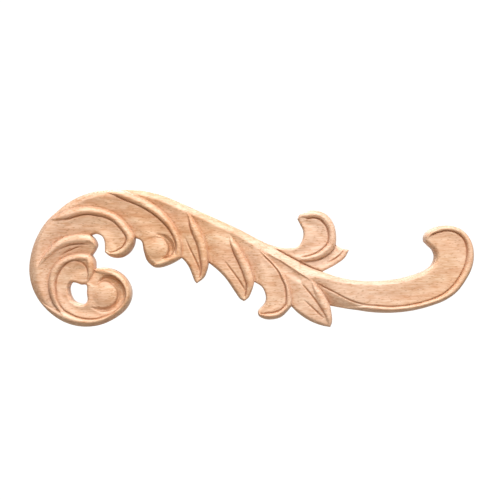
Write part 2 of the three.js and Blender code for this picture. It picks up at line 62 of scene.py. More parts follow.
CREST = 1.2  # over one, so that a rim is highest nearer its groove than its edge
CHAMFERED = 1.5  # how much a bare edge rounds off: one would be a plain chamfer
ROLLED = 0.5  # how much more a full rim rolls over than a bare edge
# From here on in the drawing's thousandths, but for FOOT, which is a share, and the two fades,
# which are parts of the stretch between two knots
FULL_RIM = 16  # breadth from which a rim has its whole height
STEP_REACH = 17  # how far from a rim the next leaf has risen again
FARTHEST = 51  # how far from an edge anything is still shaped by it
GROOVE_HALF = 2.6  # half the breadth of a groove
FULL_HOLLOW = 12  # half breadth from which a hollow has its whole depth
# FOOT and FOOT_HALF also set how far the foot of a rim is painted brown as painted shade.
FOOT = 0.8  # depth of the cut at the foot of a rim, as a share of a full groove
FOOT_HALF = 4  # how far that cut reaches from the foot
FADE_IN = 1  # over how much a rim's groove begins
FADE_OUT = 0.5  # over how much it ends
ON_LINE = 0.7  # a place as near as this to a line lies on it
NOT_NOUGHT = 1e-6  # stands for a breadth of nothing where something is divided by it

# Edges, clockwise round the scroll, so that the wood they border lies on their right hand.
# A knot is across, up, breadth of the rim and breadth of the bevel. The knots `shown` lie on the
# outline, and the others run over the face, where the leaf in front steps down to the next. Between
# the knots `grooved`, a groove follows the inside of the rim. All the wood on the left of an edge
# that `sinks` lies lower by that much. An edge `behind` another, given by its number in the list,
# stops where it meets it.
EDGES = [
    # the back of the scroll, from the volute over the top to the upper curl
    dict(shown=(0, 36), knots=[
        (-352, -23, 8, 3), (-334, -21, 14, 4), (-309, -26, 14, 4), (-286, -42, 13, 4),
        (-272, -66, 13, 4), (-271, -89, 14, 4), (-282, -113, 15, 8), (-304, -133, 16, 12),
        (-334, -148, 16, 14), (-367, -154, 18, 15), (-403, -150, 22, 16), (-437, -135, 20, 16),
        (-469, -107, 7, 17), (-491, -71, 0, 20), (-500, -31, 0, 22), (-496, 10, 0, 18),
        (-483, 48, 0, 16), (-462, 82, 0, 16), (-430, 113, 0, 16), (-394, 136, 0, 15),
        (-349, 151, 0, 13), (-295, 155, 0, 11), (-250, 153, 0, 12), (-205, 143, 0, 14),
        (-160, 125, 0, 15), (-115, 105, 0, 15), (-70, 85, 0, 15), (-25, 64, 0, 16),
        (15, 43, 0, 18), (42, 31, 0, 10), (74, 23, 0, 3), (94, 24, 0, 3),
        (109, 30, 0, 3), (117, 45, 0, 3), (118, 62, 0, 3), (112, 75, 0, 3),
        (105, 89, 0, 3),
    ]),
    # upper curl
    dict(shown=(0, 8), grooved=(1, 13), knots=[
        (105, 89, 2, 3), (110, 99, 10, 4), (123, 106, 17, 4), (143, 108, 17, 4),
        (163, 103, 18, 4), (178, 91, 19, 4), (188, 73, 18, 4), (192, 51, 18, 4),
        (191, 31, 19, 3), (185, 20, 19, 2), (172, 8, 18, 2), (154, -1, 15, 2),
        (132, -6, 12, 2), (110, -6, 8, 2),
    ]),
    # top of the spur
    dict(shown=(0, 2), knots=[(191, 31, 0, 3), (203, 23, 0, 4), (221, 19, 0, 4)]),
    # under side of the spur
    dict(shown=(0, 3), knots=[
        (221, 19, 0, 4), (211, 1, 0, 4), (191, -14, 0, 4), (161, -30, 0, 4),
    ]),
    # stem, which runs on as the inner side of the end curl
    dict(shown=(7, 19), sinks=STEM_STEP, knots=[
        (-25, 64, 0, 16), (15, 43, 0, 18), (33, 33, 0, 20), (58, 20, 0, 22), (87, 4, 0, 24),
        (116, -11, 0, 24), (141, -23, 0, 20), (161, -30, 0, 15), (188, -40, 0, 10), (222, -48, 0, 8),
        (263, -52, 0, 7), (308, -50, 0, 7), (341, -45, 0, 7), (373, -36, 0, 6),
        (396, -26, 0, 5), (410, -13, 0, 5), (415, 4, 0, 6), (410, 19, 0, 6),
        (400, 29, 0, 5), (391, 38, 0, 4),
    ]),
    # ridge under the stem
    dict(knots=[
        (137, -52, 0, 0), (119, -41, 4, 0), (87, -21, 6, 0), (66, -7, 6, 0), (49, 2, 5, 0),
        (17, 27, 0, 0),
    ]),
    # end curl and the under side of the tail
    dict(shown=(0, 21), behind=7, grooved=(1, 17.6), knots=[
        (391, 38, 2, 3), (391, 49, 7, 4), (398, 60, 10, 4), (411, 68, 12, 4),
        (430, 73, 12, 4), (452, 72, 12, 4), (472, 64, 13, 4), (488, 48, 14, 4),
        (497, 28, 16, 4), (500, 5, 18, 5), (496, -21, 19, 6), (483, -49, 19, 8),
        (463, -76, 19, 9), (436, -95, 17, 10), (402, -108, 15, 11), (362, -118, 15, 11),
        (312, -123, 15, 12), (267, -121, 16, 14), (240, -117, 10, 19), (218, -114, 5, 24),
        (200, -111, 2, 28), (177, -107, 0, 32), (150, -100, 0, 36),
    ]),
    # sixth leaf
    dict(shown=(5, 8), knots=[
        (134, -47, 0, 0), (141, -55, 7, 1), (150, -65, 14, 2), (160, -76, 20, 2),
        (171, -95, 23, 2), (177, -107, 22, 3), (181, -130, 17, 3), (181, -143, 11, 3),
        (177, -154, 4, 3),
    ]),
    # under side of the sixth leaf
    dict(shown=(0, 5), knots=[
        (177, -154, 0, 3), (159, -151, 0, 6), (139, -144, 0, 7), (119, -133, 0, 7),
        (103, -121, 0, 6), (90, -108, 0, 4),
    ]),
    # fifth lobe
    dict(shown=(8, 15), grooved=(0.4, 14), knots=[
        (11, 27, 0, 0), (29, 11, 4, 2), (49, -8, 5, 2), (65, -24, 7, 2),
        (76, -42, 9, 2), (84, -60, 9, 2), (89, -80, 11, 2), (91, -96, 13, 2),
        (90, -108, 14, 5), (81, -120, 14, 9), (66, -133, 16, 11), (44, -138, 16, 11),
        (28, -136, 14, 9), (17, -129, 9, 5), (15, -121, 4, 3), (18, -115, 0, 3),
    ]),
    # inside of the fifth lobe
    dict(shown=(0, 5), knots=[
        (18, -115, 0, 3), (28, -105, 0, 3), (33, -94, 0, 3), (32, -81, 0, 3),
        (24, -64, 0, 3), (7, -53, 0, 3),
    ]),
    # fourth leaf
    dict(shown=(5, 8), grooved=(0.8, 7.6), knots=[
        (-49, 54, 0, 0), (-39, 41, 11, 2), (-25, 23, 18, 2), (-10, -4, 20, 2),
        (1, -28, 21, 2), (7, -53, 20, 3), (2, -71, 14, 3), (-6, -88, 9, 3),
        (-16, -96, 4, 3),
    ]),
    # under side of the fourth leaf
    dict(shown=(0, 6), knots=[
        (-16, -96, 0, 3), (-25, -91, 0, 5), (-34, -79, 0, 6), (-46, -61, 0, 6),
        (-59, -43, 0, 6), (-77, -25, 0, 6), (-96, -10, 0, 4),
    ]),
    # third leaf
    dict(shown=(6, 9), grooved=(0.8, 8.6), knots=[
        (-145, 107, 0, 0), (-134, 93, 9, 2), (-124, 79, 16, 2), (-113, 60, 20, 2),
        (-103, 37, 20, 2), (-97, 12, 20, 2), (-96, -10, 18, 3), (-99, -25, 14, 3),
        (-107, -44, 9, 3), (-122, -56, 4, 3),
    ]),
    # under side of the third leaf
    dict(shown=(0, 5), knots=[
        (-122, -56, 0, 3), (-127, -51, 0, 5), (-133, -36, 0, 6), (-140, -20, 0, 6),
        (-148, -8, 0, 5), (-157, 1, 0, 4),
    ]),
    # second lobe, with the knob in its crook
    dict(shown=(10, 19), grooved=(0.3, 9.3), knots=[
        (-327, 154, 7, 2), (-300, 155, 16, 2), (-271, 146, 19, 2), (-246, 136, 19, 2),
        (-219, 121, 19, 2), (-194, 101, 18, 2), (-175, 78, 16, 2), (-163, 55, 14, 2),
        (-156, 30, 13, 2), (-156, 14, 14, 2), (-157, 1, 14, 3), (-171, -8, 16, 6),
        (-188, -16, 16, 9), (-205, -21, 13, 11), (-218, -20, 9, 12), (-228, -13, 5, 12),
        (-236, -3, 2, 11), (-242, 16, 0, 8), (-247, 39, 0, 4), (-262, 46, 0, 3),
    ]),
    # first lobe
    dict(shown=(10, 15), grooved=(0.8, 14.8), knots=[
        (-457, 85, 0, 0), (-435, 99, 16, 2), (-416, 108, 21, 2), (-392, 114, 20, 2),
        (-367, 116, 18, 2), (-343, 113, 18, 2), (-318, 106, 17, 2), (-296, 94, 17, 2),
        (-280, 77, 17, 2), (-267, 59, 17, 2), (-262, 46, 18, 3), (-265, 29, 18, 8),
        (-277, 11, 18, 11), (-296, 1, 18, 11), (-317, 4, 11, 8), (-328, 14, 4, 3),
    ]),
    # inside of the first lobe
    dict(shown=(0, 6), knots=[
        (-328, 14, 0, 3), (-328, 27, 0, 3), (-329, 38, 0, 3), (-334, 49, 0, 3),
        (-344, 54, 0, 3), (-354, 55, 0, 3), (-362, 52, 0, 3),
    ]),
    # inner leaf
    dict(shown=(7, 11), knots=[
        (-479, -22, 0, 0), (-471, -5, 7, 2), (-457, 16, 14, 2), (-442, 33, 18, 2),
        (-425, 45, 20, 2), (-406, 51, 21, 2), (-383, 54, 22, 2), (-362, 52, 21, 3),
        (-353, 43, 14, 3), (-348, 30, 4, 3), (-352, 19, 0, 3), (-360, 7, 0, 3),
    ]),
    # inner scroll, which closes on the volute
    dict(shown=(11, 13), knots=[
        (-417, -130, 0, 0), (-433, -115, 9, 2), (-445, -97, 15, 2), (-453, -73, 16, 2),
        (-454, -51, 16, 2), (-449, -29, 17, 2), (-438, -12, 17, 2), (-422, 1, 16, 2),
        (-403, 8, 16, 2), (-385, 11, 16, 2), (-371, 10, 16, 2), (-360, 7, 16, 3),
        (-353, -6, 17, 3), (-352, -23, 16, 3), (-357, -39, 11, 2), (-367, -54, 4, 2),
    ]),
]

# The opening between the inner scroll and the volute, sawn right through, counter-clockwise, so
# that the wood lies on its right hand too
EYELET = [
    (-409, -82), (-402, -95), (-389, -102), (-375, -103), (-368, -95), (-369, -78),
    (-370, -60), (-382, -59), (-393, -55), (-405, -55), (-411, -67),
]
EYELET_BEVEL = 5  # breadth of the bevel round it

# Grooves that follow no rim's breadth: across, up, depth as a share of a full groove
GROOVES = [
    [  # along the tail from the last leaf
        (146, -55, 0.6), (159, -62, 1), (188, -77, 1), (211, -89, 1), (232, -98, 1), (252, -103, 1),
        (268, -105, 1),
    ],
    [  # round the volute and up into the inner scroll
        (-331, -40, 0.6), (-321, -38, 1), (-310, -40, 1), (-300, -46, 1), (-290, -57, 1),
        (-283, -72, 1), (-282, -87, 1), (-289, -103, 1), (-304, -117, 1), (-325, -129, 1),
        (-352, -136, 1), (-381, -134, 1), (-406, -124, 1), (-421, -114, 1), (-432, -96, 1),
        (-437, -73, 1), (-437, -52, 1), (-432, -36, 1), (-421, -19, 1), (-407, -8, 1),
        (-392, -5, 1), (-377, -10, 1), (-368, -22, 1), (-365, -36, 1), (-367, -48, 0.6),
    ],
    [  # between the ribs of the inner leaf
        (-436, 14, 0), (-420, 24, 0.8), (-403, 30, 1), (-383, 32, 1), (-361, 30, 0.3),
    ],
    [  # the shorter one under it
        (-430, 4, 0), (-413, 15, 1), (-392, 24, 1), (-372, 28, 0),
    ],
    [  # up the middle of the third leaf
        (-150, 50, 0), (-140, 27, 0.8), (-128, 3, 1), (-118, -19, 1), (-114, -32, 0.8),
    ],
    [  # up the middle of the fourth leaf
        (-61, -4, 0), (-49, -20, 0.8), (-33, -41, 1), (-21, -59, 1), (-13, -72, 0.8),
    ],
    [  # between the stem and the upper curl
        (46, 26, 0), (58, 20, 0.8), (87, 4, 1), (116, -11, 1), (141, -23, 1), (161, -30, 0.8),
    ],
    [  # round the eye of the volute
        (-343, -58, 0.8), (-334, -51, 1), (-320, -52, 1), (-309, -60, 1), (-301, -71, 1),
        (-299, -82, 1), (-302, -94, 0.9), (-310, -103, 0.8), (-320, -108, 0.7), (-331, -111, 0.6),
        (-343, -109, 0.4), (-354, -102, 0),
    ],
    [  # round the knob of the second lobe
        (-237, 37, 0), (-226, 45, 0.2), (-213, 47, 0.3), (-198, 44, 0.6), (-188, 35, 1),
        (-185, 19, 1), (-189, 9, 1), (-196, 3, 0.5),
    ],
    [  # inside the rim of the sixth leaf
        (110, -54, 0), (121, -66, 0.8), (132, -79, 1), (143, -93, 1), (152, -106, 1), (160, -119, 1),
        (167, -131, 0.7),
    ],
    [  # up the middle of the sixth leaf
        (116, -93, 0), (130, -104, 0.8), (146, -119, 1), (160, -132, 0.7),
    ],
    [  # the hooked end of the second lobe's groove
        (-170, 38, 0.6), (-169, 30, 1), (-172, 19, 1), (-178, 9, 1), (-187, 3, 1), (-196, 2, 0.3),
    ],
    [  # along the spur
        (211, 20, 0.7), (199, 7, 1), (184, -4, 1), (168, -11, 0),
    ],
]

# Gouged hollows: the depth as a share of HOLLOW_DEPTH, then across, up, half breadth
HOLLOWS = [
    (1.15, [  # beside the eye of the volute
        (-345, -56, 0), (-333, -47, 6), (-317, -46, 9), (-302, -53, 10), (-292, -68, 11),
        (-291, -86, 11), (-299, -102, 9), (-316, -113, 8), (-336, -116, 7), (-356, -110, 3),
    ]),
    (1.3, [  # beside the knob of the second lobe
        (-210, 54, 3), (-196, 49, 6), (-185, 39, 8), (-179, 23, 9), (-184, 8, 7), (-197, -1, 3),
    ]),
    (0.2, [  # under the crook of the inner scroll and along the floor of the volute
        (-370, -22, 6), (-388, -27, 16), (-406, -42, 18), (-418, -66, 16), (-413, -92, 15),
        (-392, -112, 15), (-362, -120, 15), (-332, -122, 13), (-306, -113, 8), (-298, -100, 0),
    ]),
    (0.16, [  # the plain surface of the first lobe, a little dished
        (-430, 66, 0), (-400, 76, 11), (-368, 78, 16), (-334, 71, 20), (-309, 54, 20),
        (-304, 35, 17), (-303, 18, 6),
    ]),
    (0.1, [  # the second lobe
        (-330, 134, 0), (-298, 122, 14), (-262, 101, 24), (-228, 78, 26), (-203, 58, 15),
    ]),
    (0.12, [  # the fifth lobe
        (18, 4, 0), (32, -15, 10), (45, -38, 18), (54, -67, 22), (54, -92, 19), (42, -111, 8),
    ]),
    (0.15, [  # the upper curl
        (116, 82, 4), (142, 70, 16), (152, 48, 21), (134, 24, 18), (104, 12, 10), (80, 12, 0),
    ]),
    (0.06, [  # the end curl
        (420, 44, 2), (445, 42, 12), (462, 24, 20), (461, 0, 24), (446, -30, 24), (412, -58, 22),
        (360, -78, 20), (300, -84, 10), (250, -80, 0),
    ]),
    (0.12, [  # under the chamfer of the back
        (-258, 124, 0), (-210, 114, 14), (-150, 92, 20), (-105, 74, 20), (-58, 54, 20),
        (-14, 32, 16), (10, 14, 0),
    ]),
    (0.2, [  # under the ridge of the stem
        (30, 12, 0), (54, -8, 12), (84, -28, 14), (104, -44, 10), (116, -56, 0),
    ]),
]

# The eye of the volute and the knob of the second lobe, each the cap of a rounded boss: across, up,
# radius, height of its edge over the plain surface, rise of the cap over that
EYE = (-329, -81, 30, -1.5 * MM, 2.9 * MM)
KNOB = (-211, 21, 26, -1.5 * MM, 2.7 * MM)


def smooth(knots, spacing):
    """A centripetal curve through the knots, cut into lengths of about `spacing`."""
    knots = [np.array(knot, float) for knot in knots]
    ends = [2 * knots[0] - knots[1], *knots, 2 * knots[-1] - knots[-2]]
    line = []
    for p0, p1, p2, p3 in zip(ends, ends[1:], ends[2:], ends[3:]):
        t1 = math.sqrt(math.dist(p0[:2], p1[:2]))
        t2 = t1 + math.sqrt(math.dist(p1[:2], p2[:2]))
        t3 = t2 + math.sqrt(math.dist(p2[:2], p3[:2]))
        cuts = max(1, round(math.dist(p1[:2], p2[:2]) / spacing))
        for j in range(cuts):
            t = t1 + (t2 - t1) * j / cuts
            near = p1 + (p2 - p1) * (t - t1) / (t2 - t1)
            left = p0 + (p1 - p0) * t / t1
            left += (near - left) * t / t2
            right = p2 + (p3 - p2) * (t - t2) / (t3 - t2)
            right = near + (right - near) * (t - t1) / (t3 - t1)
            line.append(left + (right - left) * (t - t1) / (t2 - t1))
    line.append(knots[-1])
    return np.array(line)


def nearest(line, places):
    """For each place: its distance from the line, whether it lies on the line or right of it,
    whether it lies beyond the line's ends, and the line's values there."""
    distance = np.full(len(places), np.inf)
    right = np.zeros(len(places), bool)
    beyond = np.zeros(len(places), bool)
    values = np.zeros((len(places), line.shape[1] - 2))
    last = len(line) - 2
    for i in range(last + 1):
        start, step = line[i], line[i + 1] - line[i]
        off = places - start[:2]
        along = off @ step[:2] / (step[:2] @ step[:2])
        share = np.clip(along, 0, 1)
        away = np.hypot(off[:, 0] - share * step[0], off[:, 1] - share * step[1])
        closer = away < distance
        distance[closer] = away[closer]
        side = step[0] * off[closer, 1] < step[1] * off[closer, 0]
        right[closer] = side | (away[closer] < ON_LINE)
        beyond[closer] = False
        if i == 0:
            beyond[closer] = along[closer] < 0
        if i == last:
            beyond[closer] |= along[closer] > 1
        values[closer] = start[2:] + share[closer, None] * step[2:]
    return distance, right, beyond, values


def near_box(line, places, reach):
    """The numbers of the places within `reach` of the box round a line."""
    lowest, highest = line[:, :2].min(axis=0) - reach, line[:, :2].max(axis=0) + reach
    return np.flatnonzero(((places > lowest) & (places < highest)).all(axis=1))


def clamp(value):
    """The value, kept between nothing and one."""
    return np.clip(value, 0, 1)


def vee(distance):
    """Depth of a V-cut, as a share, at a distance from its middle."""
    return np.maximum(0, 1 - distance / GROOVE_HALF)


def bowl(distance, half):
    """Depth of a gouged hollow, as a share, at a distance from its middle."""
    share = distance / np.maximum(half, NOT_NOUGHT)
    return clamp(1 - share**2) ** 2


def bevel_fall(distance, breadth, rolled):
    """How far the wood falls away at a distance from its outer edge."""
    whole = np.minimum(DEEPEST_BEVEL, breadth * UNIT * BEVEL_SLOPE)
    rounding = CHAMFERED + rolled * ROLLED
    return whole * clamp(1 - distance / np.maximum(breadth, NOT_NOUGHT)) ** rounding


def carve(places):
    """At places of the drawing: height over the flat back, and how deep in a groove or at the foot of
    a rim the place is, as a share; the material paints that share darker brown as painted shade."""
    bead = np.zeros(len(places))
    cut = np.zeros(len(places))
    shade = np.zeros(len(places))
    dip = np.zeros(len(places))
    hollow = np.zeros(len(places))
    sink = np.zeros(len(places))
    fall = bevel_fall(nearest(eyelet, places)[0], EYELET_BEVEL, 1)
    for edge in EDGES:
        line = edge["line"]
        close = near_box(line, places, FARTHEST)
        if "behind" in edge:
            close = close[~nearest(EDGES[edge["behind"]]["line"], places[close])[1]]
        distance, right, beyond, values = nearest(line, places[close])
        rim, bevel, knot = values.T
        size = clamp(rim / FULL_RIM)
        on_wood = right & ~beyond
        fall[close] = np.maximum(fall[close], np.where(on_wood, bevel_fall(distance, bevel, size), 0))
        over = np.where(on_wood & (distance < rim), distance / np.maximum(rim, NOT_NOUGHT), 0)
        bead[close] = np.maximum(bead[close], RIM_RISE * size * np.sin(math.pi * over**CREST))
        under = STEP * size * np.exp(-((distance / STEP_REACH) ** 2))
        dip[close] = np.maximum(dip[close], np.where(right | beyond, 0, under))
        foot = FOOT * size * clamp(1 - distance / FOOT_HALF)
        cut[close] = np.maximum(cut[close], np.where(right | beyond, 0, foot))
        # Where a rim's foot runs over the face, both sides of it are marked for painted shade.
        on_face = (knot < edge["shown"][0]) if "shown" in edge else True
        shade[close] = np.maximum(shade[close], np.where(on_face & ~beyond, foot, 0))
        if "grooved" in edge:
            first, final = edge["grooved"]
            taper = clamp((knot - first) / FADE_IN) * clamp((final - knot) / FADE_OUT)
            line_cut = np.where(on_wood, vee(abs(distance - rim)) * taper, 0)
            cut[close] = np.maximum(cut[close], line_cut)
        if "sinks" in edge:
            _, far_right, far_beyond, _ = nearest(line, places)
            sink = np.where(far_right | far_beyond, 0, edge["sinks"])
    for line in grooves:
        close = near_box(line, places, GROOVE_HALF)
        distance, _, _, values = nearest(line, places[close])
        cut[close] = np.maximum(cut[close], vee(distance) * values[:, 0])
    for depth, line in hollows:
        close = near_box(line, places, line[:, 2].max())
        distance, _, _, values = nearest(line, places[close])
        half = values[:, 0]
        dish = depth * clamp(half / FULL_HOLLOW) * bowl(distance, half)
        hollow[close] = np.maximum(hollow[close], dish)
    up = FACE - sink - dip + bead - GROOVE_DEPTH * cut - HOLLOW_DEPTH * hollow
    for across, height, radius, foot, rise in (EYE, KNOB):
        share = np.hypot(places[:, 0] - across, places[:, 1] - height) / radius
        up = np.where(share < 1, np.maximum(up, FACE + foot + rise * np.sqrt(clamp(1 - share**2))), up)
    return up - fall, np.maximum(cut, shade)


FINE = 2.5  # length of the straight stretches that stand for a curve
for edge in EDGES:
    edge["line"] = smooth([(*knot, i) for i, knot in enumerate(edge["knots"])], FINE)
grooves = [smooth(knots, FINE) for knots in GROOVES]
hollows = [(depth, smooth(knots, FINE)) for depth, knots in HOLLOWS]
eyelet = smooth([*EYELET, EYELET[0]], FINE)

# Points for the face: the outline first, then rows along every cut, then an even fill. No operator
# lays a mesh along the cuts of a carving, so the points are laid here, and the triangles over them
# are worked out below.
ALONG = 2.0  # between points along an edge
FILL = 2.1  # between points on a plain surface
CLEAR = 0.85  # least distance between the points of two rows
BESIDE_EDGE = (0.9, 2, 3.5)  # rows as far as this on either side of an edge
BESIDE_GROOVE = (0, 1, 2, 3, 4.2)  # rows as far as this on either side of a groove's bottom
BESIDE_BALL = (-1.2, 0, 1.2)  # rings as far as this from the edge of a ball
BALL_TURN = 0.37  # of a step: keeps the rings from lining up with the rows
FILL_CLEAR = 0.6  # share of FILL that a point of the fill keeps from the rows
FILL_RISE = FILL * math.sqrt(0.75)  # between its rows: the height of a triangle with sides of FILL
HALF_LENGTH = 500
NARROW = 4  # a rim or bevel no broader than this has no row at its inner side
outline = []
for edge in EDGES:
    if "shown" in edge:
        first, final = edge["shown"]
        outline.extend(smooth(edge["knots"][first : final + 1], ALONG)[:-1, :2])
ring = list(smooth([*EYELET, EYELET[0]], ALONG)[:-1, :2])
points = [*outline, *ring]
taken = {}


def offer(x, y, clear):
    """Keeps a point unless another lies within `clear` of it."""
    column, row = math.floor(x / FILL), math.floor(y / FILL)
    for i in (column - 1, column, column + 1):
        for j in (row - 1, row, row + 1):
            for point in taken.get((i, j), ()):
                if math.dist(point, (x, y)) < clear:
                    return
    points.append((x, y))
    taken.setdefault((column, row), []).append((x, y))


def offer_row(line, offset):
    """Offers a point beside each point of a line, on its right hand where the offset is positive."""
    for before, here, after in zip([line[0], *line[:-1]], line, [*line[1:], line[-1]]):
        aside = offset(*here[2:])
        if aside is not None:
            ahead = (after - before)[:2] / math.dist(after[:2], before[:2])
            offer(here[0] + ahead[1] * aside, here[1] - ahead[0] * aside, CLEAR)


for x, y in points:
    taken.setdefault((math.floor(x / FILL), math.floor(y / FILL)), []).append((x, y))
rows = [smooth(edge["knots"], ALONG) for edge in EDGES]
for row in rows:
    for away in BESIDE_EDGE:
        for side in (away, -away):
            offer_row(row, lambda rim, bevel: side)
for row in rows:
    for away in BESIDE_GROOVE:
        for side in (away, -away):
            offer_row(row, lambda rim, bevel: rim + side if rim > NARROW else None)
for groove in GROOVES:
    for away in BESIDE_GROOVE:
        for side in (away, -away):
            offer_row(smooth(groove, ALONG), lambda share: side)
for row in rows:
    offer_row(row, lambda rim, bevel: bevel if bevel > NARROW else None)
for x, y, radius, _, _ in (EYE, KNOB):
    for away in BESIDE_BALL:
        out = radius + away
        steps = round(2 * math.pi * out / ALONG)
        for i in range(steps):
            turn = 2 * math.pi * (i + BALL_TURN) / steps
            offer(x + out * math.cos(turn), y + out * math.sin(turn), CLEAR)
top = max(point[1] for point in outline)
bottom = min(point[1] for point in outline)
for number, y in enumerate(np.arange(bottom, top, FILL_RISE)):
    for x in np.arange(-HALF_LENGTH + number % 2 * FILL / 2, HALF_LENGTH, FILL):
        offer(x, y, FILL_CLEAR * FILL)

# Triangles over the points, with the outline and the ring as borders. A triangle of the scroll
# lies within the outline alone, and one within both would fill the opening.
WITHIN_BORDERS = 1  # what the triangulator calls the triangles that some border encloses
ONE_POINT = 1e-6  # points nearer than this count as one
OUTLINE_ALONE = [0]  # the first border's number
count = len(outline)
borders = [list(range(count))[::-1], list(range(count, count + len(ring)))]
flat = [Vector(point) for point in points]
placed, _, triangles, _, _, inside = geometry.delaunay_2d_cdt(
    flat, [], borders, WITHIN_BORDERS, ONE_POINT
)
kept = [corners for corners, within in zip(triangles, inside) if within == OUTLINE_ALONE]
used = sorted({corner for corners in kept for corner in corners})
number_of = {corner: i for i, corner in enumerate(used)}
places = np.array([placed[corner] for corner in used])
# `cuts` holds how much painted shade, with a little dust, each point takes in the material.
heights, cuts = carve(places)

# The board: the carved face, smoothed a little as a gouge leaves it, then sawn walls drawn down to
# the flat back, which closes them. The `cut` of each point goes with the mesh, for the painted shade
# in the material.
GOUGED_SMOOTH = 0.35
SHARP = math.radians(50)  # from here on, two faces meet in an edge that shows
board = bmesh.new()
dust_and_shade_layer = board.verts.layers.float.new("cut")
for (x, y), height, cut in zip(places, heights, cuts):
    vert = board.verts.new((x * UNIT, -height, y * UNIT))
    vert[dust_and_shade_layer] = cut
board.verts.ensure_lookup_table()
for corners in kept:
    board.faces.new([board.verts[number_of[corner]] for corner in corners])
inner = [vert for vert in board.verts if not vert.is_boundary]
bmesh.ops.smooth_vert(board, verts=inner, factor=GOUGED_SMOOTH, use_axis_y=True)
rim_edges = [edge for edge in board.edges if edge.is_boundary]
wall = bmesh.ops.extrude_edge_only(board, edges=rim_edges)["geom"]
for item in wall:
    if isinstance(item, bmesh.types.BMVert):
        item.co.y = 0
        item[dust_and_shade_layer] = 0
back_edges = [edge for edge in board.edges if edge.is_boundary]
bmesh.ops.triangle_fill(board, edges=back_edges, use_beauty=True)
bmesh.ops.recalc_face_normals(board, faces=board.faces)
for face in board.faces:
    face.smooth = True
for edge in board.edges:
    edge.smooth = edge.calc_face_angle(0) < SHARP
scroll_mesh = bpy.data.meshes.new("scroll")
board.to_mesh(scroll_mesh)
board.free()
scroll = bpy.data.objects.new("scroll", scroll_mesh)
bpy.context.collection.objects.link(scroll)


def linear(hex_colour):
    """An sRGB hex colour as linear red, green, blue and alpha."""
    shares = [int(hex_colour[i : i + 2], 16) / 255 for i in (1, 3, 5)]
    return (*[s / 12.92 if s <= 0.04045 else ((s + 0.055) / 1.055) ** 2.4 for s in shares], 1)


def grey(share):
    """A share, as a colour that a band of colours can give."""
    return (share, share, share, 1)


def add(tree, kind, settings=None, links=None, values=None, stops=()):
    """Adds a node, with its settings, its linked inputs, the plain values of its inputs, and the
    stops of its band where it is a band of colours."""
    node = tree.nodes.new(kind)
    for name, value in (settings or {}).items():
        setattr(node, name, value)
    for name, value in (values or {}).items():
        node.inputs[name].default_value = value
    for name, source in (links or {}).items():
        tree.links.new(source, node.inputs[name])
    if stops:
        band = node.color_ramp.elements
        while len(band) < len(stops):
            band.new(1)
        for stop, (where, colour) in zip(band, stops):
            stop.position = where
            stop.color = colour
    return node


# Bare rubberwood, left as the gouges cut it: pale and almost matt, with its grain along the scroll,
# short dark dashes where open pores are cut, a pink cast in patches, and paler towards both ends.
# The bottoms of the grooves and the feet of the rims are painted brown: painted shade, with a little
# dust from the tool.
wood = bpy.data.materials.new("bare_rubberwood")
wood.use_nodes = True
tree = wood.node_tree
shader = tree.nodes["Principled BSDF"]
shader.inputs["Roughness"].default_value = 0.5
shader.inputs["Specular IOR Level"].default_value = 0.6
shader.inputs["Sheen Weight"].default_value = 0.1
shader.inputs["Sheen Roughness"].default_value = 0.5
place = add(tree, "ShaderNodeTexCoord").outputs["Object"]

# Each pattern is drawn out along the grain: the millimetres of its cells along the scroll, up and
# into the board. Real fibres and pores are 0.1 to 0.3 mm across and would not show, so they are
# drawn about five times as coarse.
CELLS = dict(figure=(70, 7, 9), fibre=(7, 1.1, 1.1), blush=(60, 26, 26), pore=(4, 1.4, 1.4))
grain = {}
for name, (long, wide, deep) in CELLS.items():
    scale = (1 / (long * MM), 1 / (deep * MM), 1 / (wide * MM))
    cells = add(tree, "ShaderNodeMapping", links={"Vector": place}, values={"Scale": scale})
    grain[name] = cells.outputs["Vector"]
figure = add(
    tree, "ShaderNodeTexNoise", links={"Vector": grain["figure"]},
    values={"Scale": 1, "Detail": 4, "Roughness": 0.55, "Distortion": 0.6},
)
fibre = add(
    tree, "ShaderNodeTexNoise", links={"Vector": grain["fibre"]},
    values={"Scale": 1, "Detail": 3, "Roughness": 0.6},
)
blush = add(
    tree, "ShaderNodeTexNoise", links={"Vector": grain["blush"]},
    values={"Scale": 1, "Detail": 2, "Roughness": 0.5},
)
pores = add(
    tree, "ShaderNodeTexVoronoi", links={"Vector": grain["pore"]},
    values={"Scale": 1, "Randomness": 1},
)
along = add(tree, "ShaderNodeSeparateXYZ", links={"Vector": place}).outputs["X"]
share_along = add(
    tree, "ShaderNodeMapRange", links={"Value": along},
    values={"From Min": -LENGTH / 2, "From Max": LENGTH / 2},
).outputs["Result"]

BAND = "ShaderNodeValToRGB"
tone = add(tree, BAND, links={"Fac": figure.outputs["Fac"]}, stops=[
    (0.33, linear("#d6a276")), (0.67, linear("#eecdab")),
]).outputs["Color"]
streak = add(tree, BAND, links={"Fac": fibre.outputs["Fac"]}, stops=[
    (0.32, linear("#e8d3bf")), (0.62, linear("#ffffff")),
]).outputs["Color"]
pink = add(tree, BAND, links={"Fac": blush.outputs["Fac"]}, stops=[
    (0.45, grey(0)), (0.7, grey(0.5)),
]).outputs["Color"]
# Paler towards both ends of the scroll.
paler_ends = add(tree, BAND, links={"Fac": share_along}, stops=[
    (0, grey(0.42)), (0.1, grey(0.3)), (0.18, grey(0)), (0.4, grey(0)),
    (0.62, grey(0.6)), (0.78, grey(0.6)), (0.92, grey(0.18)),
]).outputs["Color"]
open_pore = add(tree, BAND, links={"Fac": pores.outputs["Distance"]}, stops=[
    (0.16, grey(0.5)), (0.27, grey(0)),
]).outputs["Color"]
dust_and_shade_share = add(tree, "ShaderNodeAttribute", {"attribute_name": "cut"}).outputs["Fac"]
DUST_AND_SHADE = 0.6  # how brown the bottom of a full groove is
dust_and_shade = add(tree, "ShaderNodeMath", {"operation": "MULTIPLY"}, {0: dust_and_shade_share}, {1: DUST_AND_SHADE})

